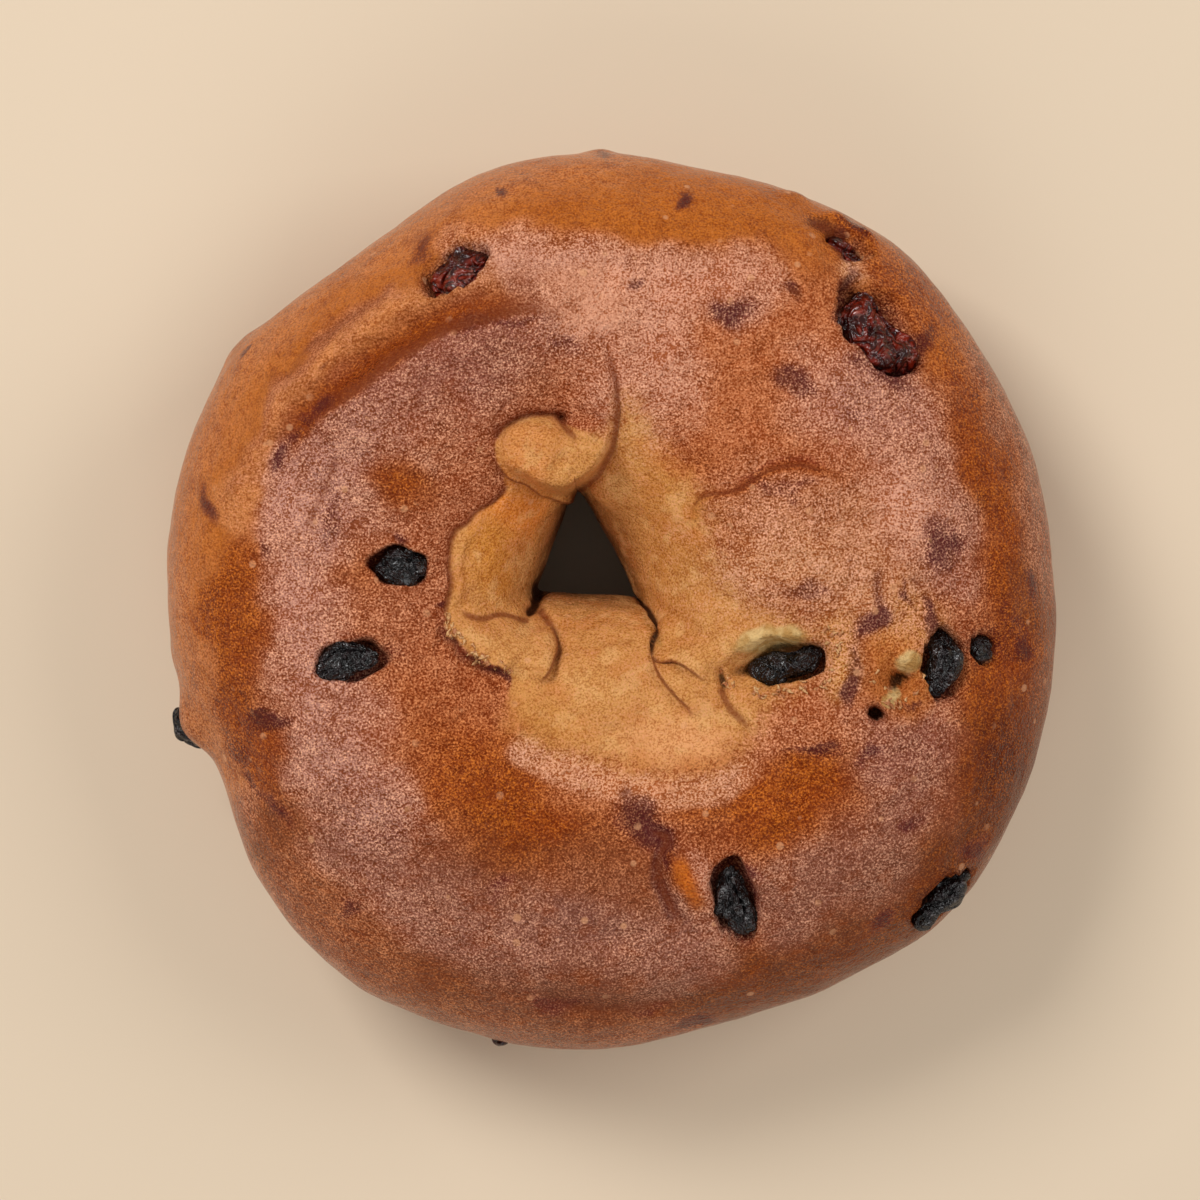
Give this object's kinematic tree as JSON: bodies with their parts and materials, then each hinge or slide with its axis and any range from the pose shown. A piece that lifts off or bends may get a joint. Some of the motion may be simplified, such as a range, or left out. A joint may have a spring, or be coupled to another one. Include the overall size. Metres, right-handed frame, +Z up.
{
  "type": "raisin bagel",
  "caption": "Whole baked bagel with dark raisins in its browned crust, an uneven ring round a small triangular hole with folded and torn dough at its rim.",
  "frame": {"origin": "on the table under the middle of the bagel's bounding box", "axes": "+Z up from the flat baked foot; +Y from the hole toward the folded rope end, the top of the picture; +X to the right of the picture"},
  "size_m": [0.1109, 0.1125, 0.0379],
  "materials": {
    "crust": "boiled and baked crust with a soft satin sheen, golden to red-brown, plum-brown where raisins stain it and pale tan in the folds",
    "raisin_skin": "wrinkled, near black, half glossy dried fruit skin"
  },
  "bodies": {
    "root": {"dough": "crust", "raisin_1": "raisin_skin", "raisin_2": "raisin_skin", "raisin_3": "raisin_skin", "raisin_4": "raisin_skin", "raisin_5": "raisin_skin", "raisin_6": "raisin_skin", "raisin_7": "raisin_skin", "raisin_8": "raisin_skin", "raisin_9": "raisin_skin", "raisin_10": "raisin_skin", "raisin_11": "raisin_skin", "raisin_12": "raisin_skin"}
  },
  "joints": []
}
